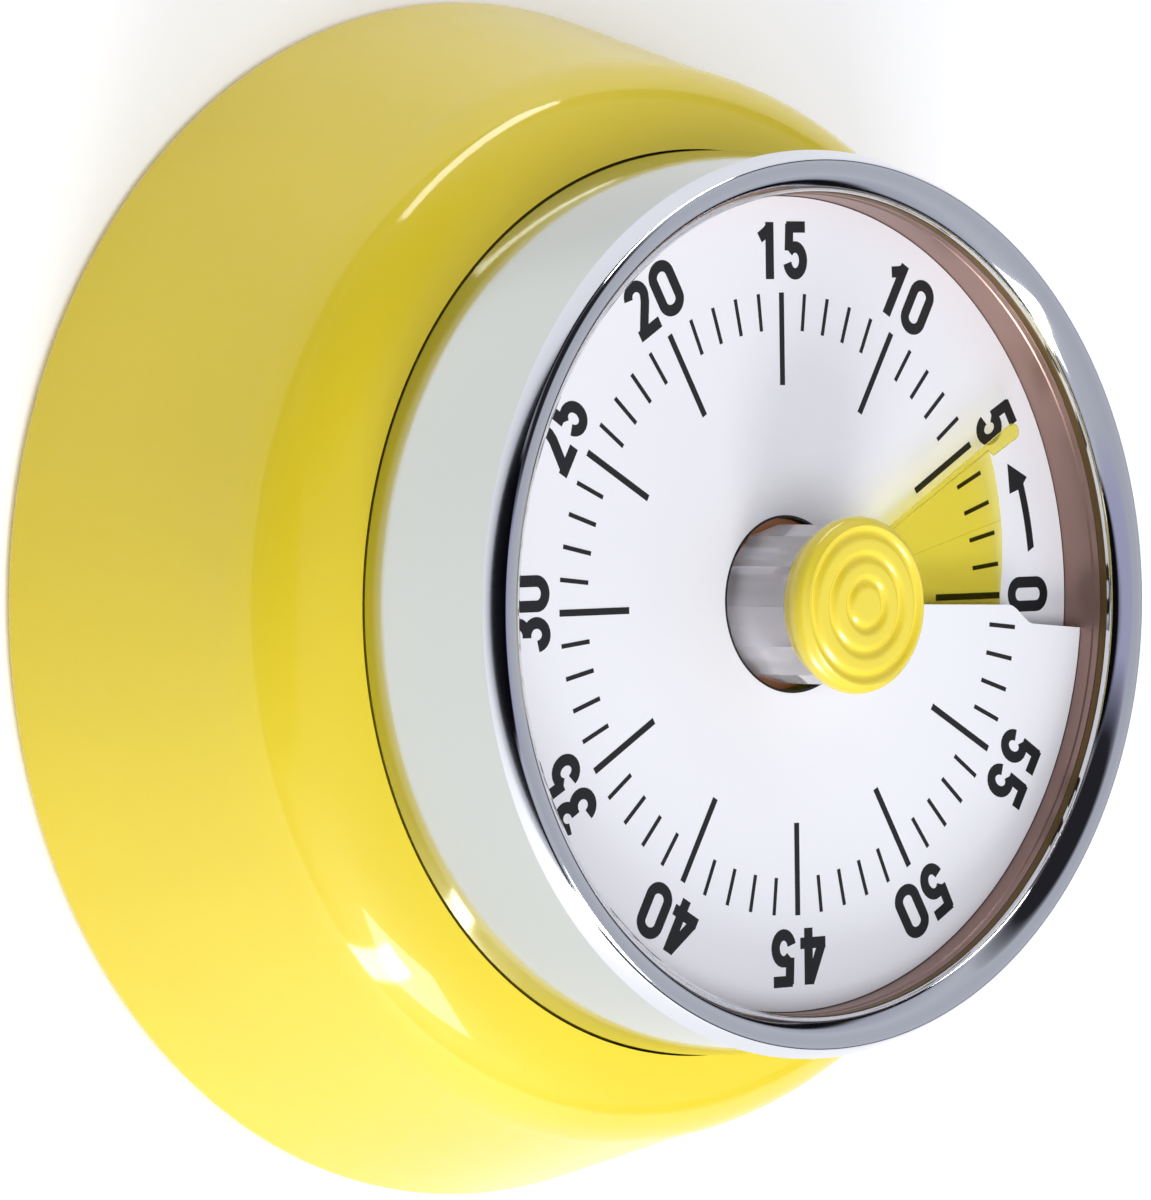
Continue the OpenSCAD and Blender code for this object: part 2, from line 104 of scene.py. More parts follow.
camera = bpy.data.objects.new("camera", bpy.data.cameras.new("camera"))
bpy.context.scene.collection.objects.link(camera)
place = Vector((0, 0, DIAL_Z)) + SIDE_SHIFT * right + UP_SHIFT * up + DISTANCE * back
camera.matrix_world = Matrix.Translation(place * MM) @ Matrix((right, up, back)).transposed().to_4x4()
camera.data.sensor_width = SENSOR_WIDTH
camera.data.lens = SENSOR_WIDTH * FOCAL_IN_FRAME_UNITS / FRAME_LONG_SIDE
camera.data.clip_start = 0.01
bpy.context.scene.camera = camera
bpy.context.scene.view_settings.view_transform = "Standard"
print("camera at", [round(v, 4) for v in camera.location], "lens", round(camera.data.lens), "mm")

# %% [markdown]
# ## Studio
# Colours are written as the hex codes that a paint shop or a web page uses, and Blender counts in linear light,
# so one function turns the first into the second. Another adds a node and links it in the same call, which keeps
# every tree below to one line for each node.


# %% A helper for colours, and one for nodes
def srgb(code):
    """The linear colour of an sRGB hex code."""
    channels = [int(code[i : i + 2], 16) / 255 for i in (1, 3, 5)]
    return [c / 12.92 if c <= 0.04045 else ((c + 0.055) / 1.055) ** 2.4 for c in channels] + [1.0]


def add(tree, kind, inputs=None, **settings):
    """Adds a node; inputs maps a socket's name or number to a value or to another node's output."""
    made = tree.nodes.new(kind)
    for name, value in settings.items():
        setattr(made, name, value)
    for name, value in (inputs or {}).items():
        if isinstance(value, bpy.types.NodeSocket):
            tree.links.new(value, made.inputs[name])
        else:
            made.inputs[name].default_value = value
    return made


print("middle grey in linear light:", [round(c, 3) for c in srgb("#808080")[:3]])

# %% [markdown]
# A bright lacquered case and a polished ring want large soft boxes, because each one shows as a shape in the
# gloss. The main box stands low in front, so the foot of the case is brightest. A long window above draws the
# line along the shoulder. The fill has no reflection of its own, and the low sheen is nothing but a reflection.


# %% Lights
def studio_light(name, toward, distance, width, height, power):
    """A soft box, metres and watts; toward is right, up and back, as the camera sees them."""
    lamp = bpy.data.lights.new(name, "AREA")
    lamp.shape = "RECTANGLE"
    lamp.size = width
    lamp.size_y = height
    lamp.energy = power
    box = bpy.data.objects.new(name, lamp)
    bpy.context.scene.collection.objects.link(box)
    aim = (toward[0] * right + toward[1] * up + toward[2] * back).normalized()
    across = up.cross(aim).normalized()
    turn = Matrix((across, aim.cross(across), aim)).transposed().to_4x4()
    box.matrix_world = Matrix.Translation(aim * distance) @ turn
    return box


studio_light("key_from_below", (0.18, -0.87, 0.44), 0.75, 0.3, 0.26, 2.4)
studio_light("window_above", (0.13, 0.92, 0.06), 0.9, 0.62, 0.09, 1.9)
front_fill = studio_light("front_fill", (0.4, -0.2, 0.8), 1.0, 0.6, 0.6, 4.3)
front_fill.visible_glossy = False
low_sheen = studio_light("low_sheen", (-0.2, -0.93, 0.3), 0.9, 0.9, 0.12, 8)
low_sheen.visible_diffuse = False

# %% [markdown]
# Metal shows whatever stands round it, so the room is as important as the lamps. Its walls are pale, with a dark
# skirting near the floor, and three zones stand over them: a lilac one behind the camera, and two dark ones above
# and on the left. It is these that draw the dark and light bands in the chrome ring. The room is a world shader,
# because real cards standing about would throw shadows too.

# %% Room
ROOM_STRENGTH = 0.85
world = bpy.data.worlds.new("studio")
bpy.context.scene.world = world
world.use_nodes = True
sky = world.node_tree
sky.nodes.clear()
where = add(sky, "ShaderNodeTexCoord").outputs["Generated"]
height = add(sky, "ShaderNodeSeparateXYZ", {0: where}).outputs["Z"]


def colour_ramp(tree, factor, stops):
    """A ramp through these (position, hex code) stops."""
    ramp = add(tree, "ShaderNodeValToRGB", {0: factor})
    while len(ramp.color_ramp.elements) < len(stops):
        ramp.color_ramp.elements.new(0.5)
    for element, (position, code) in zip(ramp.color_ramp.elements, stops):
        element.position = position
        element.color = srgb(code)
    return ramp.outputs[0]


walls = colour_ramp(sky, height, [
    (0.0, "#34343C"), (0.04, "#0C0C10"), (0.12, "#101014"), (0.18, "#BFC3D2"), (0.4, "#D6D9E4"), (1.0, "#C6CAD6")])


def zone(direction, start, full, code, rest):
    """The colour code round a direction, fading in between two cosines, over the rest of the room."""
    toward = add(sky, "ShaderNodeVectorMath", {0: where, 1: tuple(direction)}, operation="DOT_PRODUCT")
    inside = colour_ramp(sky, toward.outputs["Value"], [(start, "#000000"), (full, "#FFFFFF")])
    return add(sky, "ShaderNodeMix", {"Factor": inside, 6: rest, 7: srgb(code)}, data_type="RGBA").outputs[2]


room = zone(back, 0.80, 0.93, "#BCBCDC", walls)
room = zone((-0.35, 0.72, 0.6), 0.80, 0.93, "#2A2A30", room)
room = zone((-0.95, 0.05, 0.25), 0.80, 0.86, "#0C0C12", room)
shine = add(sky, "ShaderNodeBackground", {"Color": room, "Strength": ROOM_STRENGTH})
add(sky, "ShaderNodeOutputWorld", {0: shine.outputs[0]})
print("room made of", len(sky.nodes), "nodes")

# %% [markdown]
# The timer lies on its back on a sheet of white paper. The sheet is a plain grid of six metres, so its edge is
# never in view.

# %% Floor
FLOOR_HALF = 3
bm = bmesh.new()
bmesh.ops.create_grid(bm, x_segments=2, y_segments=2, size=FLOOR_HALF)
floor_mesh = bpy.data.meshes.new("floor")
bm.to_mesh(floor_mesh)
bm.free()
floor = bpy.data.objects.new("floor", floor_mesh)
bpy.context.scene.collection.objects.link(floor)
print("floor", 2 * FLOOR_HALF, "m wide")

# %% [markdown]
# ## Finishes
# Each finish is named for the real stuff. Patterns are given in real millimetres: a noise texture of scale S on
# Object coordinates, which are metres here, has features about 1/S metres across, so per_mm turns a real size
# into a scale.


# %% A helper for finishes
FINISH = {}
CLOUD = 18


def per_mm(size):
    return 1 / (size * MM)


def finish(name, colour, rough, metallic=0.0, spot=1.0, vary=0.04, bump=0.05, stretch=(1, 1, 1), **sockets):
    """Files a finish whose colour and roughness wander a little, with a fine relief of size spot in mm."""
    material = bpy.data.materials.new(name)
    material.use_nodes = True
    tree = material.node_tree
    tree.nodes.clear()
    where = add(tree, "ShaderNodeTexCoord").outputs["Object"]
    place = add(tree, "ShaderNodeMapping", {"Vector": where, "Scale": stretch}).outputs[0]
    grain = add(tree, "ShaderNodeTexNoise", {"Vector": place, "Scale": per_mm(spot), "Detail": 3.0}).outputs["Fac"]
    cloud = add(tree, "ShaderNodeTexNoise", {"Vector": where, "Scale": per_mm(CLOUD), "Detail": 1.0}).outputs["Fac"]
    base = srgb(colour)
    ramp = add(tree, "ShaderNodeValToRGB", {0: cloud})
    for element, factor in zip(ramp.color_ramp.elements, (1 - vary, 1 + vary)):
        element.color = [min(1, c * factor) for c in base[:3]] + [1]
    ramp.color_ramp.elements[0].position = 0.3
    ramp.color_ramp.elements[1].position = 0.7
    roughness = add(tree, "ShaderNodeMapRange", {0: grain, 3: rough * 0.85, 4: rough * 1.15}).outputs[0]
    relief = add(tree, "ShaderNodeBump", {"Height": grain, "Strength": bump, "Distance": 0.02 * MM}).outputs[0]
    inputs = {"Base Color": ramp.outputs[0], "Roughness": roughness, "Metallic": metallic, "Normal": relief}
    inputs.update({key.replace("_", " "): value for key, value in sockets.items()})
    shader = add(tree, "ShaderNodeBsdfPrincipled", inputs)
    add(tree, "ShaderNodeOutputMaterial", {0: shader.outputs[0]})
    FINISH[name] = material


print("a relief of 0.25 mm has scale", per_mm(0.25))

# %% [markdown]
# Enamel, steel, chrome and aluminium make the outside. A metal takes its colour from its reflections and a coat
# keeps an enamel's gloss apart from its colour, so the metals differ mostly in roughness and grain, and the
# enamel has a coat.

# %% Finishes of the case, collar, ring and wall
# Stoved enamel on spun steel: a deep even colour under a glassy skin with a trace of orange peel.
finish("stoved_enamel", "#EED514", 0.6, spot=1.6, vary=0.03, bump=0.08,
       Specular_IOR_Level=0.6, Coat_Weight=0.6, Coat_Roughness=0.07, Coat_IOR=1.55)
# Stainless steel brushed in the lathe: the lines run round, so the pattern is stretched to rings.
finish("brushed_stainless", "#CBCEC7", 0.1, 1.0, spot=0.25, vary=0.02, bump=0.08,
       stretch=(0.01, 0.01, 1))
# Nickel-chrome plate: a mirror, with the faintest unevenness from polishing.
finish("chrome_plate", "#DCDDE0", 0.07, 1.0, spot=4, vary=0.01, bump=0.02)
# Turned aluminium whose brown is a painted reflection of the yellow case, with painted shade: the fine lines run
# round, and the sheen is soft.
finish("aluminium_painted_brown_reflection", "#9C7F76", 0.36, 0.7, spot=0.3, vary=0.05, bump=0.2,
       stretch=(0.01, 0.01, 1))
print("finishes so far:", len(FINISH))

# %% [markdown]
# The dial, the film and the knob are plastics, and so are the ink and the hub. A plastic has no colour in its
# reflection, and its IOR is near 1.5. The film is thin enough to bend no light, so its IOR is close to 1.

# %% Finishes of the dial, film and knob
# Satin polystyrene sheet, as cut for dials: white, hardly any grain.
finish("dial_sheet", "#F6F6F8", 0.42, spot=0.5, vary=0.012, bump=0.03, IOR=1.59)
# Pad-printed ink: a dense charcoal that is a little rougher than the sheet.
finish("printing_ink", "#141417", 0.55, spot=0.2, vary=0.1, bump=0.1)
# Tinted polyester film: light passes through it twice, down to the dial and back.
finish("tinted_film", "#F3E988", 0.1, spot=6, vary=0.0, bump=0.02,
       Transmission_Weight=1.0, IOR=1.04)
# The film's cut edge and its tab are paler, because they scatter light.
finish("film_edge", "#F3E878", 0.25, spot=3, vary=0.02, bump=0.02,
       Transmission_Weight=0.75, IOR=1.1)
# ABS in the body colour, moulded in a polished tool.
finish("yellow_abs", "#FBE546", 0.3, spot=0.9, vary=0.02, bump=0.05, IOR=1.53,
       Coat_Weight=0.4, Coat_Roughness=0.12)
# Clear polystyrene: a bright, slightly wavy glassy moulding.
finish("clear_polystyrene", "#FFFCFF", 0.03, spot=3, vary=0.0, bump=0.04,
       Transmission_Weight=0.6, IOR=1.5)
# Brass in a deep olive that is a painted reflection, for the sleeve inside the ring.
finish("olive_painted_reflection_brass", "#6A5228", 0.45, 0.6, spot=0.3, vary=0.1, bump=0.2,
       stretch=(0.01, 0.01, 1))
# Phenolic resin from a plain mould: warm brown and a little dull.
finish("brown_phenolic", "#C8804E", 0.4, spot=0.4, vary=0.15, bump=0.1)
print("finishes so far:", len(FINISH))

# %% [markdown]
# The back and the clockwork are seen when the timer is turned over or opened, so their finishes are as true as
# the others: moulded ABS, rubber, plated steel, rolled brass and turned steel.

# %% Finishes of the back and the clockwork
# Black ABS moulded against a spark-eroded tool, which leaves an even fine grain.
finish("black_abs", "#1E1F21", 0.55, spot=0.35, vary=0.08, bump=0.6)
# Soft black rubber: dull, and dusty where it is touched.
finish("nitrile_rubber", "#151515", 0.8, spot=0.5, vary=0.2, bump=0.4)
# Nickel plate on the magnets, a warm dull mirror.
finish("nickel_plate", "#BDB9AF", 0.22, 1.0, spot=1.5, vary=0.04, bump=0.1)
# Zinc plate on screws, bluish and a little cloudy.
finish("zinc_plate", "#B9BEC4", 0.34, 1.0, spot=0.6, vary=0.08, bump=0.2)
# Rolled brass for plates and wheels, with the faint lines of the rolling mill along one way.
finish("rolled_brass", "#D9B25A", 0.33, 1.0, spot=0.2, vary=0.06, bump=0.3,
       stretch=(0.04, 1, 1))
# Blued spring steel, straw to dark blue.
finish("blued_steel", "#3C4660", 0.3, 1.0, spot=0.8, vary=0.2, bump=0.1)
# Turned silver steel for arbors, levers and pinions.
finish("turned_steel", "#B4B6BA", 0.28, 1.0, spot=0.15, vary=0.03, bump=0.25,
       stretch=(0.05, 0.05, 1))
# White ABS for the hidden supports.
finish("white_abs", "#E9E9E4", 0.45, spot=0.5, vary=0.03, bump=0.15)
# A sheet of seamless studio paper.
finish("studio_paper", "#FFFFFF", 0.9, spot=2, vary=0.0, bump=0.02,
       Emission_Color=srgb("#FFFFFF"), Emission_Strength=0.12)
floor.data.materials.append(FINISH["studio_paper"])
print("finishes:", ", ".join(FINISH))

# %% [markdown]
# Every node of the CAD model carries a slot that says what it is made of. One table gives each slot its finish, so
# the clockwork needs no line of its own for each part.

# %% Finishes on the CAD nodes
SLOT_FINISH = {
    "yellow_lacquer": "stoved_enamel", "satin_steel": "brushed_stainless", "bezel_chrome": "chrome_plate",
    "liner_metal": "aluminium_painted_brown_reflection", "dial_white": "dial_sheet", "white_plastic": "white_abs",
    "screw_steel": "zinc_plate", "plate_brass": "rolled_brass", "bell_steel": "nickel_plate",
    "spring_steel": "blued_steel", "black_plastic": "black_abs", "magnet_nickel": "nickel_plate",
    "black_rubber": "nitrile_rubber", "arbor_steel": "turned_steel", "wheel_brass": "rolled_brass",
    "film_yellow": "tinted_film", "hub_brown": "brown_phenolic", "clear_plastic": "clear_polystyrene",
    "yellow_plastic": "yellow_abs",
}
slots = {row["node"]: row["material_slot"] for row in frame["record"]["subparts"]}
for name, node in frame["nodes"].items():
    node.data.materials.clear()
    node.data.materials.append(FINISH[SLOT_FINISH[slots[name]]])
print("nodes with a finish:", len(slots))

# %% [markdown]
# ## Turned pieces
# Case, collar, ring, hub and cap are all turned or spun, so each is an outline swept round the axis. The outline
# is a list of corners, each with the radius that rounds it, because no real edge is sharp, and a bright line
# along an edge is what makes metal look like metal. The Screw modifier or Spin could sweep it too, but lists of
# points and faces give closed poles and seams with nothing to clean up.


# %% Rounded outlines
def rounded(corners, fineness=6):
    """The outline with each corner (r, z, rounding) replaced by a small curve."""
    outline = []
    for i, (r, z, rounding) in enumerate(corners):
        here = Vector((r, z))
        if rounding == 0:
            outline.append(here)
            continue
        before = Vector(corners[i - 1][:2]) - here
        after = Vector(corners[(i + 1) % len(corners)][:2]) - here
        start = here + before.normalized() * min(rounding, before.length * 0.49)
        end = here + after.normalized() * min(rounding, after.length * 0.49)
        for k in range(fineness + 1):
            t = k / fineness
            outline.append(start * (1 - t) ** 2 + here * 2 * t * (1 - t) + end * t * t)
    return outline


print("a rounded square has", len(rounded([(0, 0, 1), (9, 0, 1), (9, 9, 1), (0, 9, 1)])), "points")

# %% [markdown]
# The lathe copies the outline at equal steps round the axis and joins neighbours with four-sided faces. Where the
# outline touches the axis the copies fall together and are merged, so the pole is closed. Every piece then needs
# a finish and a body to ride on, and each of the two has a helper.


# %% A lathe
FINE_ROUND = 256


def new_piece(name, mesh, material):
    """An object at the origin, in the scene, with this finish."""
    piece = bpy.data.objects.new(name, mesh)
    bpy.context.scene.collection.objects.link(piece)
    mesh.materials.clear()
    mesh.materials.append(FINISH[material])
    return piece


def smooth(mesh, sharp_above=38):
    """Merges doubles, points the faces outwards, and shades smoothly between sharp edges.

    On a thin shell the first guess at outwards can be wrong, and a negative volume then shows it.
    """
    bm = bmesh.new()
    bm.from_mesh(mesh)
    bmesh.ops.remove_doubles(bm, verts=bm.verts, dist=1e-7)
    bmesh.ops.dissolve_degenerate(bm, edges=bm.edges, dist=1e-8)
    bmesh.ops.recalc_face_normals(bm, faces=bm.faces)
    if bm.calc_volume(signed=True) < 0:
        bmesh.ops.reverse_faces(bm, faces=bm.faces)
    bm.to_mesh(mesh)
    bm.free()
    mesh.polygons.foreach_set("use_smooth", [True] * len(mesh.polygons))
    mesh.set_sharp_from_angle(angle=math.radians(sharp_above))


def lathe(name, outline, material, steps=180, sharp_above=38):
    """Sweeps a closed outline of (r, z) in mm round the Z axis."""
    points = []
    for s in range(steps):
        a = 2 * math.pi * s / steps
        points += [(r * MM * math.cos(a), r * MM * math.sin(a), z * MM) for r, z in outline]
    n = len(outline)
    faces = []
    for s in range(steps):
        p, q = s * n, (s + 1) % steps * n
        faces += [(p + i, q + i, q + (i + 1) % n, p + (i + 1) % n) for i in range(n)]
    mesh = bpy.data.meshes.new(name)
    mesh.from_pydata(points, [], faces)
    smooth(mesh, sharp_above)
    return new_piece(name, mesh, material)


def stands_for(piece, body, slot, *nodes):
    """Puts a piece on a body, in place of these CAD nodes."""
    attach(piece, body)
    if nodes:
        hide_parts(*nodes)
    print(piece.name, len(piece.data.polygons), "faces")


# %% [markdown]
# The case is spun from one disc of steel, so it has one continuous wall: a straight tapering skirt and a
# shoulder that rolls over towards the collar. The shoulder is a cubic curve, and the inner face is the same
# curve moved inwards by the wall. The foot is rounded under.


# %% Case
CASE_R = 35.0
WALL = 1.3
FOOT_Z = 0.3


def shoulder(inset, steps=28):
    """The rolled shoulder as points, moved inwards by inset."""
    p = [Vector(v) for v in (
        (31.2 - inset, 13.5 - inset / 4), (30.7 - inset, 17.4 - inset / 2),
        (28.6 - 0.7 * inset, 19.0 - 0.8 * inset), (25.76, 19.95 - inset))]
    return [
        p[0] * (1 - t) ** 3 + p[1] * 3 * t * (1 - t) ** 2 + p[2] * 3 * t * t * (1 - t) + p[3] * t ** 3
        for t in (k / steps for k in range(steps + 1))
    ]


foot = rounded([(CASE_R - WALL, FOOT_Z, 0), (CASE_R, FOOT_Z, 0.45), (31.2, 13.5, 0)])[:-1]
case_outline = foot + shoulder(0) + shoulder(WALL)[::-1]
case_shell = lathe("case_shell", case_outline, "stoved_enamel", FINE_ROUND)
stands_for(case_shell, "case", "yellow_lacquer", "housing")

# %% [markdown]
# The collar is a drawn steel tube that narrows a little towards the ring. It starts well down inside the case, on
# a small flange, so there is no gap to look into where it comes out.

# %% Collar
collar_outline = rounded([
    (24.9, 16.4, 0), (27.9, 16.4, 0.2), (27.9, 17.0, 0.2), (25.72, 17.0, 0), (25.62, 22.6, 2.0), (24.7, 28.7, 0.1),
    (23.9, 28.7, 0), (24.9, 20.0, 0)])
steel_collar = lathe("steel_collar", collar_outline, "brushed_stainless", FINE_ROUND)
stands_for(steel_collar, "case", "satin_steel", "collar")

# %% [markdown]
# The ring is rolled over the collar's edge. Its section is a bead with a straight outer flank that ends in a
# crisp lower edge, and a short sleeve stands inside it, whose dark olive colour is a painted reflection.

# %% Chrome ring
ring_outline = rounded([
    (23.25, 28.9, 0), (23.25, 29.4, 0), (23.1, 29.42, 0), (23.1, 29.86, 0.42), (23.9, 30.62, 0.5),
    (24.35, 30.76, 0.25), (24.84, 30.7, 0.34), (25.43, 29.42, 0.05), (24.78, 29.15, 0.1), (24.75, 28.72, 0),
    (23.86, 28.72, 0), (23.86, 28.9, 0)])
chrome_ring = lathe("chrome_ring", ring_outline, "chrome_plate", FINE_ROUND, 50)
stands_for(chrome_ring, "case", "bezel_chrome", "bezel")

# The sleeve's dark olive colour is a painted reflection.
sleeve_outline = rounded([(23.05, 28.95, 0.02), (23.24, 28.95, 0), (23.24, 29.41, 0), (23.05, 29.41, 0.04)], 3)
stands_for(lathe("ring_sleeve", sleeve_outline, "olive_painted_reflection_brass", FINE_ROUND), "case", "bezel_chrome")

# %% [markdown]
# The wall between ring and dial is a thin ring with two small steps, which draw the fine lines that run
# round inside the chrome. Its brown is a painted reflection of the yellow case, with painted shade.

# %% Wall of the recess
wall_outline = rounded([
    (22.95, 24.45, 0), (23.6, 24.45, 0), (23.6, 28.4, 0.05), (23.2, 28.4, 0), (23.2, 28.92, 0.03),
    (23.03, 28.92, 0.03), (23.03, 28.5, 0.02), (22.95, 28.42, 0.04)], 3)
recess_wall = lathe("recess_wall", wall_outline, "aluminium_painted_brown_reflection", FINE_ROUND)
stands_for(recess_wall, "case", "liner_metal", "recess_liner")

# %% [markdown]
# ## Dial
# The dial sheet is one turn of a screw. It starts under its own end, passes round the zero, and stops at a slit.
# The end of the sheet is cut straight near the middle and swings round the zero further out. Rings of points at
# the same radius make the sheet, and the cut only moves the last angle of each ring. A disc with a hole and a
# slit cut by booleans would have to be bent afterwards, and would tear at the slit.


# %% Dial sheet
LAP = 9
SWING_START = 16.9
SWING_WIDTH = 2.1


def cut_back(r):
    """Degrees by which the sheet's end stops short of a full turn at radius r."""
    t = min(1, max(0, (r - SWING_START) / SWING_WIDTH))
    return 1.75 + 3.3 * t * t * (3 - 2 * t)


def screw_sheet(name, radii, start, end, height, thick, material, steps=240):
    """A sheet between the angles start and end(r), whose face stands at height(angle)."""
    n = len(radii)
    points = []
    for drop in (0, thick):
        for s in range(steps + 1):
            for r in radii:
                a = start + (end(r) - start) * s / steps
                x, y = math.cos(math.radians(a)), math.sin(math.radians(a))
                points.append((r * x * MM, r * y * MM, (height(a) - drop) * MM))
    half = n * (steps + 1)
    faces = []
    for s in range(steps):
        p, q = s * n, (s + 1) * n
        for i in range(n - 1):
            faces.append((p + i, p + i + 1, q + i + 1, q + i))
            faces.append((half + p + i, half + q + i, half + q + i + 1, half + p + i + 1))
        faces.append((p, q, half + q, half + p))
        faces.append((p + n - 1, half + p + n - 1, half + q + n - 1, q + n - 1))
    for p in (0, steps * n):
        for i in range(n - 1):
            faces.append((p + i, half + p + i, half + p + i + 1, p + i + 1))
    mesh = bpy.data.meshes.new(name)
    mesh.from_pydata(points, [], faces)
    smooth(mesh)
    return new_piece(name, mesh, material)


radii = [DIAL_HOLE_R, 11, 16.5] + [SWING_START + 0.15 * k for k in range(15)] + [20.9, DIAL_R]
dial_sheet = screw_sheet("dial_sheet", radii, -LAP, lambda r: 360 - cut_back(r), face_z, DIAL_T, "dial_sheet")
stands_for(dial_sheet, "case", "dial_white", "dial")

# %% [markdown]
# ### Minute marks
# Sixty marks follow one rule: mark m stands at six degrees times m, on the sloping face, and every fifth is
# longer and wider. That is work for Geometry Nodes. A few helpers come first: one starts a tree with named
# inputs, one adds a sum, and one runs a tree and keeps what it made as a plain piece. An input is set by its
# socket's identifier, because names may repeat.


# %% Helpers for Geometry Nodes


def group(name, inputs):
    """A new Geometry Nodes tree with named number inputs."""
    tree = bpy.data.node_groups.new(name, "GeometryNodeTree")
    tree.interface.new_socket("Geometry", in_out="OUTPUT", socket_type="NodeSocketGeometry")
    for label, kind in inputs:
        tree.interface.new_socket(label, in_out="INPUT", socket_type=kind)
    return tree, tree.nodes.new("NodeGroupInput"), tree.nodes.new("NodeGroupOutput")


def maths(tree, operation, *values):
    """One sum in a tree, from numbers and sockets."""
    return add(tree, "ShaderNodeMath", dict(enumerate(values)), operation=operation).outputs[0]


def grown(name, tree, values, material):
    """Runs the tree on an empty mesh with these input values, and returns the result as a plain piece."""
    maker = bpy.data.objects.new(name + "_maker", bpy.data.meshes.new(name))
    bpy.context.scene.collection.objects.link(maker)
    modifier = maker.modifiers.new("maker", "NODES")
    modifier.node_group = tree
    for item in tree.interface.items_tree:
        if item.in_out == "INPUT" and item.name in values:
            modifier[item.identifier] = values[item.name]
    bpy.context.view_layer.update()
    mesh = bpy.data.meshes.new_from_object(maker.evaluated_get(bpy.context.evaluated_depsgraph_get()))
    bpy.data.objects.remove(maker)
    mesh.name = name
    return new_piece(name, mesh, material)


print("trees so far:", len(bpy.data.node_groups))

# %% [markdown]
# The tree itself makes a row of points, puts each in its place from its index, and stands a thin bar on it. The
# index gives the minute, the minute gives the angle and the climb, and sine and cosine give the place.

# %% Tree for the minute marks
PRINT = 0.012
marks, given, result = group("minute_marks", [
    ("Inner", "NodeSocketFloat"), ("Outer", "NodeSocketFloat"), ("Width", "NodeSocketFloat"),
    ("First", "NodeSocketInt"), ("Step", "NodeSocketInt"), ("Count", "NodeSocketInt"), ("Ink", "NodeSocketMaterial")])
inner, outer, width = given.outputs["Inner"], given.outputs["Outer"], given.outputs["Width"]
number = add(marks, "GeometryNodeInputIndex").outputs[0]
minute = maths(marks, "ADD", maths(marks, "MULTIPLY", number, given.outputs["Step"]), given.outputs["First"])
turn = maths(marks, "MULTIPLY", minute, math.radians(6))
middle = maths(marks, "MULTIPLY", maths(marks, "ADD", inner, outer), 0.5)
climb = maths(marks, "MULTIPLY_ADD", minute, DIAL_RISE / 60 * MM, (DIAL_Z + PRINT / 2) * MM)
spot = add(marks, "ShaderNodeCombineXYZ", {
    0: maths(marks, "MULTIPLY", middle, maths(marks, "COSINE", turn)),
    1: maths(marks, "MULTIPLY", middle, maths(marks, "SINE", turn)), 2: climb}).outputs[0]
dots = add(marks, "GeometryNodePoints", {"Count": given.outputs["Count"], "Position": spot}).outputs[0]
length = maths(marks, "SUBTRACT", outer, inner)
size = add(marks, "ShaderNodeCombineXYZ", {0: length, 1: width, 2: PRINT * MM}).outputs[0]
bar = add(marks, "GeometryNodeMeshCube", {"Size": size}).outputs[0]
facing = add(marks, "ShaderNodeCombineXYZ", {2: turn}).outputs[0]
stamped = add(marks, "GeometryNodeInstanceOnPoints", {"Points": dots, "Instance": bar, "Rotation": facing}).outputs[0]
solid = add(marks, "GeometryNodeRealizeInstances", {0: stamped}).outputs[0]
inked = add(marks, "GeometryNodeSetMaterial", {0: solid, "Material": given.outputs["Ink"]}).outputs[0]
marks.links.new(inked, result.inputs[0])
print("minute_marks has", len(marks.nodes), "nodes")

# %% [markdown]
# One run of the tree makes every fifth mark, and four more make the short ones between, each starting a minute
# later.


# %% Minute marks
MARK_R = 17.5


def five_minutes_apart(name, first, inner, width):
    """Twelve marks, the first at this minute, from radius inner to the common outer radius."""
    made = grown(name, marks, {
        "Inner": inner * MM, "Outer": MARK_R * MM, "Width": width * MM, "First": first, "Step": 5, "Count": 12,
        "Ink": FINISH["printing_ink"]}, "printing_ink")
    stands_for(made, "case", "dial_white")


five_minutes_apart("five_minute_marks", 0, 12.3, 0.38)
for minutes_on in (1, 2, 3, 4):
    five_minutes_apart(f"minute_marks_{minutes_on}", minutes_on, 15.4, 0.25)

# %% [markdown]
# A thin black ring round the hole of the dial is a painted shadow, the shade in the gap round the hub. It follows
# the sheet as it climbs. It is the same kind of sheet as the dial, so the same function makes it.

# %% Painted shadow round the hole
RIM_T = 0.2
hole_rim = screw_sheet(
    "hole_rim", [DIAL_HOLE_R - 0.13, DIAL_HOLE_R - 0.005], 0, lambda r: 358, lambda a: face_z(a) + PRINT, RIM_T,
    "printing_ink", 120)
stands_for(hole_rim, "case", "dial_white")

# %% [markdown]
# ### Numerals and arrow
# The print lies on a slope, so each numeral is made flat, 1 mm high, and then laid on the dial: every point takes
# its place in the plane and the dial's height where it comes to lie.


# %% Laying print on the dial
def lay_on_dial(mesh, place, last_angle=360):
    """Moves every vertex by place, in mm, and lifts it to the face; past last_angle that is the start of the turn."""
    for v in mesh.vertices:
        x, y = place(v.co.x, v.co.y)
        angle = math.degrees(math.atan2(y, x)) % 360
        angle = angle - 360 if angle > last_angle else angle
        v.co = Vector((x * MM, y * MM, (face_z(angle) + (PRINT if v.co.z > 0.5 else 0)) * MM))


print("print stands", PRINT, "mm proud")

# %% [markdown]
# The figures are heavy and condensed. A font would be the usual way, but the one that comes with Blender is thin
# and wide, and a figure needs only a few strokes of even width. A stroke is a ribbon along its middle line, made
# as a row of square rings that are joined up and closed at the ends.


# %% Strokes
def solid_mesh(bm, name):
    """The finished mesh of a closed solid, its faces pointing outwards."""
    bmesh.ops.recalc_face_normals(bm, faces=bm.faces)
    mesh = bpy.data.meshes.new(name)
    bm.to_mesh(mesh)
    bm.free()
    return mesh


def arc(cx, cy, rx, ry, start, end, steps=20):
    """Part of an ellipse as points, between two angles in degrees."""
    return [(cx + rx * math.cos(math.radians(start + (end - start) * k / steps)),
             cy + ry * math.sin(math.radians(start + (end - start) * k / steps))) for k in range(steps + 1)]


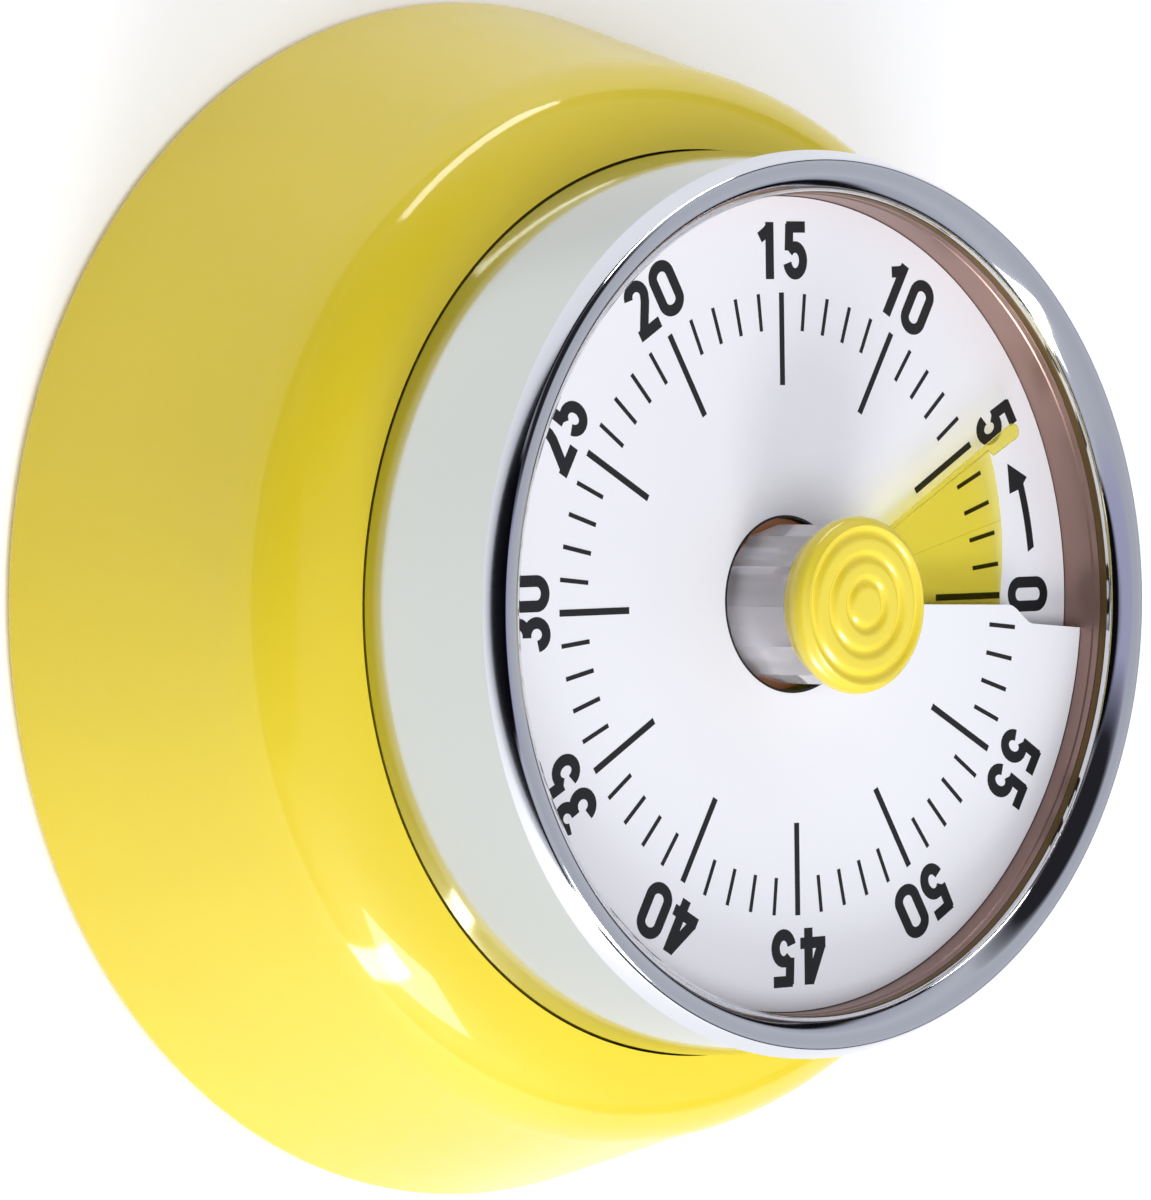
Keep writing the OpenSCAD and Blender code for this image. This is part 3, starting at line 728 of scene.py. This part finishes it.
def ribbon(line, half):
    """One closed solid, 1 mm high, of even width round a line; a line that ends where it starts is a loop."""
    loop = line[0] == line[-1]
    line = [Vector(p) for p in (line[:-1] if loop else line)]
    n = len(line)
    bm = bmesh.new()
    rings = []
    for i, here in enumerate(line):
        before = (here - line[i - 1]).normalized() if i or loop else None
        after = (line[(i + 1) % n] - here).normalized() if i < n - 1 or loop else None
        along = ((before or after) + (after or before)).normalized()
        across = Vector((-along.y, along.x))
        reach = half / max(0.5, along.dot(after or before))
        corners = [here + across * reach, here - across * reach]
        rings.append([bm.verts.new((*p, z)) for z in (0, 1) for p in (corners if z == 0 else corners[::-1])])
    for i in range(n if loop else n - 1):
        one, two = rings[i], rings[(i + 1) % n]
        for k in range(4):
            j = (k + 1) % 4
            bm.faces.new((one[k], one[j], two[j], two[k]))
    if not loop:
        bm.faces.new(rings[0])
        bm.faces.new(rings[-1][::-1])
    return solid_mesh(bm, "stroke")


print("an arc has", len(arc(0, 0, 1, 1, 0, 90)), "points")

# %% [markdown]
# Each figure is a few middle lines, up to 1.5 mm wide and 3.2 mm high round its own centre. Its ribbons cross, so
# they are joined into one closed solid by the exact boolean, and no face is left inside.

# %% Figures
STROKES = {
    "0": [arc(0, 0.7, 0.64, 0.62, 0, 180) + arc(0, -0.7, 0.64, 0.62, 180, 360) + [(0.64, 0.7)]],
    "1": [[(-0.5, 0.72), (0.0, 1.06), (0.3, 1.4)], [(0.22, 1.6), (0.22, -1.6)]],
    "2": [arc(0, 0.72, 0.58, 0.6, 172, -14) + [(0.42, 0.2), (-0.46, -1.25)], [(-0.82, -1.33), (0.82, -1.33)]],
    "3": [arc(0, 0.72, 0.56, 0.62, 172, -75), arc(0, -0.64, 0.6, 0.7, 75, -172), [(-0.16, 0.08), (0.16, 0.08)]],
    "4": [[(0.22, 1.5), (-0.66, -0.66)], [(-0.92, -0.75), (0.88, -0.75)], [(0.3, 1.6), (0.3, -1.6)]],
    "5": [[(0.74, 1.33), (-0.62, 1.33)], [(-0.4, 1.5), (-0.46, 0.0)], arc(0, -0.55, 0.58, 0.76, 140, -168)],
}
STROKE_HALF = 0.32
FIGURE_PITCH = 2.24
FIGURE_WIDER = 1.08


def combined(name, meshes, operation="UNION"):
    """The first closed solid with the others added to it, or cut from it."""
    first = bpy.data.objects.new(name, meshes[0])
    bpy.context.scene.collection.objects.link(first)
    others = []
    for i, mesh in enumerate(meshes[1:]):
        other = bpy.data.objects.new("other", mesh)
        bpy.context.scene.collection.objects.link(other)
        others.append(other)
        step = first.modifiers.new(f"step_{i}", "BOOLEAN")
        step.operation = operation
        step.solver = "EXACT"
        step.object = other
    bpy.context.view_layer.update()
    mesh = bpy.data.meshes.new_from_object(first.evaluated_get(bpy.context.evaluated_depsgraph_get()))
    for one in [first] + others:
        bpy.data.objects.remove(one)
    return mesh


FIGURES = {}
for figure, lines in STROKES.items():
    ribbons = [ribbon([(FIGURE_WIDER * x, y) for x, y in line], STROKE_HALF) for line in lines]
    FIGURES[figure] = combined("figure_" + figure, ribbons)
print("figures:", " ".join(FIGURES))

# %% [markdown]
# Twelve numerals stand round the dial with their heads outwards, one for every five minutes. Each copies the
# figures that it needs and is laid at its own angle, so no numeral is drawn twice.


# %% Numerals
NUMERAL_R = 19.85
SLIT_SIDE = 350


def numeral_mesh(text, angle, r):
    """Figures side by side, heads outwards, at this angle."""
    bm = bmesh.new()
    for i, figure in enumerate(text):
        copy = FIGURES[figure].copy()
        copy.transform(Matrix.Translation(((i - (len(text) - 1) / 2) * FIGURE_PITCH, 0, 0)))
        bm.from_mesh(copy)
    mesh = solid_mesh(bm, "numeral")
    out = Vector((math.cos(math.radians(angle)), math.sin(math.radians(angle))))
    side = Vector((out.y, -out.x))
    lay_on_dial(mesh, lambda x, y: out * (r + y) + side * x, SLIT_SIDE)
    return mesh


for five in range(12):
    text = str(five * 5)
    numeral = new_piece("numeral_" + text, numeral_mesh(text, five * 30, NUMERAL_R), "printing_ink")
    stands_for(numeral, "case", "dial_white")

# %% [markdown]
# The arrow shows which way to wind. Its shaft is bent along a circle and its head is a plain triangle, so one
# outline of angles and radii says it all. A slab closes an outline above and below. The arrow's two faces are cut
# into triangles, because a face with that many corners must not be left to bend over the slope of the dial.


# %% Arrow
ARROW_R = 20.3
SHAFT_HALF = 0.26
SHAFT_START = 7
HEAD_START = 17.6


def slab(name, outline, low_z, top_z, in_triangles=False):
    """A closed flat solid with this outline between two heights."""
    bm = bmesh.new()
    low, top = ([bm.verts.new((x, y, z)) for x, y in outline] for z in (low_z, top_z))
    bm.faces.new(low[::-1])
    bm.faces.new(top)
    for i in range(len(outline)):
        j = (i + 1) % len(outline)
        bm.faces.new((low[i], low[j], top[j], top[i]))
    if in_triangles:
        bmesh.ops.triangulate(bm, faces=bm.faces)
    return solid_mesh(bm, name)


shaft = [SHAFT_START + (HEAD_START - SHAFT_START) * k / 12 for k in range(13)]
arrow_outline = [(a, ARROW_R - SHAFT_HALF) for a in shaft] + [(HEAD_START, 19.3), (22.6, 19.73), (18.9, 20.95)]
arrow_outline += [(a + 0.6, ARROW_R + SHAFT_HALF) for a in reversed(shaft)]
arrow_mesh = slab("arrow", [
    (r * math.cos(math.radians(a)), r * math.sin(math.radians(a))) for a, r in arrow_outline], 0, 1, True)
lay_on_dial(arrow_mesh, lambda x, y: (x, y))
stands_for(new_piece("arrow", arrow_mesh, "printing_ink"), "case", "dial_white")

# %% [markdown]
# ## Film
# The real film is one disc of tinted polyester on the knob, and it passes through the slit, so what shows is a
# fan that opens as the knob turns. A rigid sector can't open. Here the fan is two sheets, a tail sheet and a lead
# sheet, which meet half way. It climbs with the dial, from the slit to the leading edge. A little of the tail
# sheet is tucked under the slit.


# %% Film
FILM_T = 0.1
FILM_LOW_Z = 26.27
FILM_CLIMB = 1.36
FILM_INNER = 4.6
FILM_OUTER = 17.4
FILM_TUCK = 5


def film_z(degrees):
    """Height of the film's underside."""
    return FILM_LOW_Z + FILM_CLIMB * max(0, degrees) / FILM_ANGLE


def film_sheet(name, start, end, steps):
    """A sheet of film from one angle to another, climbing with the dial."""
    radii = [FILM_INNER, 9, 13, FILM_OUTER]
    sheet = screw_sheet(name, radii, start, lambda r: end, lambda a: film_z(a) + FILM_T, FILM_T, "tinted_film", steps)
    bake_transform(sheet)
    print(name, "from", start, "to", end, "degrees")
    return sheet


half_way = FILM_ANGLE / 2
tail_sheet = film_sheet("film_tail", -FILM_TUCK, half_way, 170)
lead_sheet = film_sheet("film_lead", half_way, FILM_ANGLE, 150)
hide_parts("film_trailing_leaf")
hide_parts("film_leading_leaf")

# %% [markdown]
# The film's leading edge is cut with a round tab that reaches over the numerals and points at the time. It is a
# slab of its own that rides on the knob, because it doesn't bend. It is drawn along the X axis and then turned.

# %% Leading edge of the film
EDGE_HALF = 0.05
TAB_R = 0.48
TAB_MIDDLE = (19.65, -0.11)
edge = [(FILM_INNER, -EDGE_HALF), (FILM_OUTER, -EDGE_HALF), (FILM_OUTER + 0.2, -0.5)]
edge += [(TAB_MIDDLE[0] + TAB_R * math.sin(a), TAB_MIDDLE[1] - TAB_R * math.cos(a))
         for a in (math.pi * k / 10 for k in range(11))]
edge += [(FILM_INNER, 3 * EDGE_HALF)]
edge_z = film_z(FILM_ANGLE)
edge_mesh = slab("film_edge", edge, edge_z, edge_z + FILM_T + 0.01)
edge_mesh.transform(Matrix.Rotation(math.radians(FILM_ANGLE), 4, "Z") @ Matrix.Scale(MM, 4))
stands_for(new_piece("film_edge", edge_mesh, "film_edge"), "knob", "film_yellow", "film_pointer")

# %% [markdown]
# ## Knob
# The stem is a clear twelve-sided prism with a bore for the arbor, so it shows flat facets with bright edges
# between them. The lathe would make it with twelve steps, but it would then shade the facets as one round.


# %% Stem
STEM_R = 4.47
STEM_SIDES = 12
STEM_BORE = 1.55


def faceted_tube(sides, r, bore, low, high, bevel):
    """A tube with flat sides outside, and a small bevel at both ends."""
    bm = bmesh.new()
    rings = [(bore, low), (bore, high), (r - bevel, high), (r, high - bevel), (r, low + bevel), (r - bevel, low)]
    around = [2 * math.pi * k / sides for k in range(sides)]
    loops = [[bm.verts.new((q * MM * math.cos(a), q * MM * math.sin(a), z * MM)) for a in around] for q, z in rings]
    for one, two in zip(loops, loops[1:] + loops[:1]):
        for k in range(sides):
            j = (k + 1) % sides
            bm.faces.new((one[k], one[j], two[j], two[k]))
    return solid_mesh(bm, "clear_stem")


stem_mesh = faceted_tube(STEM_SIDES, STEM_R, STEM_BORE, 25.92, 31.08, 0.12)
stands_for(new_piece("clear_stem", stem_mesh, "clear_polystyrene"), "knob", "clear_plastic", "knob_stem")

# %% [markdown]
# The cap is moulded with three round grooves about a button, which give a fingertip something to hold. Its
# outline is worked out from a rule for the depth of the front, and its side is part of an ellipse.


# %% Cap
CAP_TOP = 33.2
CAP_FLAT_R = 4.5
CAP_BORE = 1.52
GROOVE_PITCH = 1.34


def groove(r):
    """Depth of the front at radius r: narrow grooves, one pitch apart, round a flat button."""
    return 0 if r < GROOVE_PITCH / 2 else 0.3 * (0.5 + 0.5 * math.cos(2 * math.pi * r / GROOVE_PITCH)) ** 3


cap_face = [Vector((r, CAP_TOP - 0.03 - groove(r) - 0.12 * (r / 4.6) ** 2)) for r in (k / 20 for k in range(90))]
cap_side = [Vector((CAP_FLAT_R + 0.47 * math.sin(a), CAP_TOP - 0.95 + 0.65 * math.cos(a)))
            for a in (math.pi * k / 12 for k in range(1, 10))]
cap_under = [Vector((r, CAP_TOP - depth)) for r, depth in (
    (0, 1.1), (CAP_BORE, 1.1), (CAP_BORE, 2.1), (CAP_FLAT_R, 2.1))]
cap_outline = cap_under + cap_side[::-1] + cap_face[::-1]
stands_for(lathe("yellow_cap", cap_outline, "yellow_abs", 144), "knob", "yellow_plastic", "knob_cap")

# %% [markdown]
# The hub fills the hole of the dial and clamps the film to the stem. What shows of it is a brown ring at the foot
# of the stem.

# %% Hub
hub_outline = rounded([
    (CAP_BORE, 24.6, 0), (2.7, 24.6, 0), (2.7, 25.5, 0), (4.85, 25.5, 0.08), (4.85, 25.9, 0.08),
    (CAP_BORE, 25.9, 0)])
stands_for(lathe("brown_hub", hub_outline, "brown_phenolic", 96), "knob", "hub_brown", "dial_hub")

# %% [markdown]
# ## Back
# Four magnets, a ribbed rubber ring and three screws sit on a black cover. Magnets, ribs and screws all repeat
# round a circle, so one small tree serves them: it puts copies of a piece at equal steps and turns each outwards.

# %% Tree for pieces in a circle
circle, given, result = group("pieces_in_a_circle", [
    ("Piece", "NodeSocketObject"), ("Distance", "NodeSocketFloat"), ("First angle", "NodeSocketFloat"),
    ("Count", "NodeSocketInt"), ("Finish", "NodeSocketMaterial")])
number = add(circle, "GeometryNodeInputIndex").outputs[0]
share = maths(circle, "DIVIDE", number, given.outputs["Count"])
turn = maths(circle, "MULTIPLY_ADD", share, 2 * math.pi, given.outputs["First angle"])
spot = add(circle, "ShaderNodeCombineXYZ", {
    0: maths(circle, "MULTIPLY", given.outputs["Distance"], maths(circle, "COSINE", turn)),
    1: maths(circle, "MULTIPLY", given.outputs["Distance"], maths(circle, "SINE", turn))}).outputs[0]
dots = add(circle, "GeometryNodePoints", {"Count": given.outputs["Count"], "Position": spot}).outputs[0]
copied = add(circle, "GeometryNodeObjectInfo", {"Object": given.outputs["Piece"]}).outputs["Geometry"]
facing = add(circle, "ShaderNodeCombineXYZ", {2: turn}).outputs[0]
stamped = add(circle, "GeometryNodeInstanceOnPoints", {
    "Points": dots, "Instance": copied, "Rotation": facing}).outputs[0]
solid = add(circle, "GeometryNodeRealizeInstances", {0: stamped}).outputs[0]
coated = add(circle, "GeometryNodeSetMaterial", {0: solid, "Material": given.outputs["Finish"]}).outputs[0]
circle.links.new(coated, result.inputs[0])
print("pieces_in_a_circle has", len(circle.nodes), "nodes")

# %% [markdown]
# One helper runs that tree on a piece, which is used up, and another makes a closed box for the ribs and for the
# recess in a screw's head.


# %% Helpers for the back
def in_a_circle(name, piece, distance, first_angle, count, material):
    """Copies of a piece round the axis; the piece itself is used up."""
    made = grown(name, circle, {
        "Piece": piece, "Distance": distance * MM, "First angle": math.radians(first_angle), "Count": count,
        "Finish": FINISH[material]}, material)
    bpy.data.objects.remove(piece)
    return made


def block(x, y, z, turn=0):
    """A closed box between these pairs of x, y and z in mm, turned in degrees about Z."""
    bm = bmesh.new()
    bmesh.ops.create_cube(bm, size=MM)
    bmesh.ops.scale(bm, verts=bm.verts, vec=(x[1] - x[0], y[1] - y[0], z[1] - z[0]))
    middle = [(one[0] + one[1]) / 2 * MM for one in (x, y, z)]
    bmesh.ops.translate(bm, verts=bm.verts, vec=middle)
    bmesh.ops.rotate(bm, verts=bm.verts, matrix=Matrix.Rotation(math.radians(turn), 3, "Z"))
    return solid_mesh(bm, "block")


print("a block has", len(block((0, 1), (0, 1), (0, 1)).polygons), "faces")

# %% [markdown]
# Four nickelled disc magnets hold the timer to a steel door. Each is a short cylinder with a rounded rim, and a
# lathe with 72 steps keeps the rim smooth.

# %% Magnets
MAGNET_R = 5
MAGNET_CIRCLE = 15
MAGNET_TOP = 2.1
MAGNET_ANGLE = 45
MAGNET_COUNT = 4
magnet = lathe("one_magnet", rounded([
    (0, 0.2, 0), (MAGNET_R, 0.2, 0.3), (MAGNET_R, MAGNET_TOP, 0.1), (0, MAGNET_TOP, 0)]), "nickel_plate", 72)
magnets = in_a_circle("disc_magnets", magnet, MAGNET_CIRCLE, MAGNET_ANGLE, MAGNET_COUNT, "nickel_plate")
stands_for(magnets, "case", "magnet_nickel", "magnets")

# %% [markdown]
# Three small cross-head screws hold the cover. The head and shank are turned, and two crossed blocks are cut out
# of the head for the recess.

# %% Screws of the cover
SCREW_CIRCLE = 30.1
SCREW_COUNT = 3
HEAD_R = 1.5
HEAD_TOP = 1.3
SHANK_R = 0.75
screw = lathe("one_screw", rounded([
    (0, 0.7, 0), (HEAD_R, 0.7, 0.35), (HEAD_R, HEAD_TOP, 0.05), (SHANK_R, HEAD_TOP, 0), (SHANK_R, 7.3, 0.2),
    (0, 7.3, 0)]), "zinc_plate", 48)
recess = [block((-0.85, 0.85), (-0.18, 0.18), (0.5, 1.05), angle) for angle in (20, 110)]
screw.data = combined("screw_mesh", [screw.data] + recess, "DIFFERENCE")
screws = in_a_circle("cross_head_screws", screw, SCREW_CIRCLE, 0, SCREW_COUNT, "zinc_plate")
stands_for(screws, "case", "screw_steel", "cover_screws")

# %% [markdown]
# A rubber ring keeps the timer from sliding. It is a flat turned ring with ninety low ribs across it, which stand
# a hair above the floor so that the two never share a face.

# %% Rubber ring
RUBBER_INNER = 24.05
RUBBER_OUTER = 27.95
RUBBER_TOP = 1.2
RIB_COUNT = 90
rubber = lathe("suction_ring", rounded([
    (RUBBER_INNER, 0.12, 0.2), (RUBBER_OUTER, 0.12, 0.2), (RUBBER_OUTER, RUBBER_TOP, 0),
    (RUBBER_INNER, RUBBER_TOP, 0)]), "nitrile_rubber", 180)
stands_for(rubber, "case", "black_rubber", "rubber_ring")
rib = new_piece("one_rib", block((-1.55, 1.55), (-0.35, 0.35), (0.02, 0.3)), "nitrile_rubber")
ribs = in_a_circle("rubber_ribs", rib, (RUBBER_INNER + RUBBER_OUTER) / 2, 0, RIB_COUNT, "nitrile_rubber")
stands_for(ribs, "case", "black_rubber")

# %% [markdown]
# The cover is a moulded disc with a round channel for the rubber ring, and pockets for the magnets and the screw
# heads. The channel is part of the turned outline. The pockets stand off the axis, so round cutters take them
# out, each a little wider than what sits in it.


# %% Back cover
cover = lathe("cover_disc", rounded([
    (0, 0.6, 0), (24, 0.6, 0.1), (24, RUBBER_TOP, 0), (28, RUBBER_TOP, 0), (28, 0.6, 0.1), (33.45, 0.6, 0.3),
    (32.95, 2.5, 0.1), (0, 2.5, 0)], 4), "black_abs", 180)


def drill(r, distance, angle, depth):
    """A closed round cutter for the cover."""
    bm = bmesh.new()
    along_x = Matrix.Translation((distance * MM, 0, (depth - 1) / 2 * MM))
    place = Matrix.Rotation(math.radians(angle), 4, "Z") @ along_x
    bmesh.ops.create_cone(
        bm, cap_ends=True, segments=64, radius1=r * MM, radius2=r * MM, depth=(depth + 1) * MM, matrix=place)
    return solid_mesh(bm, "drill")


cutters = [drill(MAGNET_R + 0.05, MAGNET_CIRCLE, MAGNET_ANGLE + 360 / MAGNET_COUNT * k, MAGNET_TOP)
           for k in range(MAGNET_COUNT)]
cutters += [drill(HEAD_R + 0.1, SCREW_CIRCLE, 360 / SCREW_COUNT * k, HEAD_TOP) for k in range(SCREW_COUNT)]
cover_mesh = combined("back_cover", [cover.data] + cutters, "DIFFERENCE")
bpy.data.objects.remove(cover)
smooth(cover_mesh, 35)
stands_for(new_piece("back_cover_detailed", cover_mesh, "black_abs"), "case", "black_plastic", "back_cover")
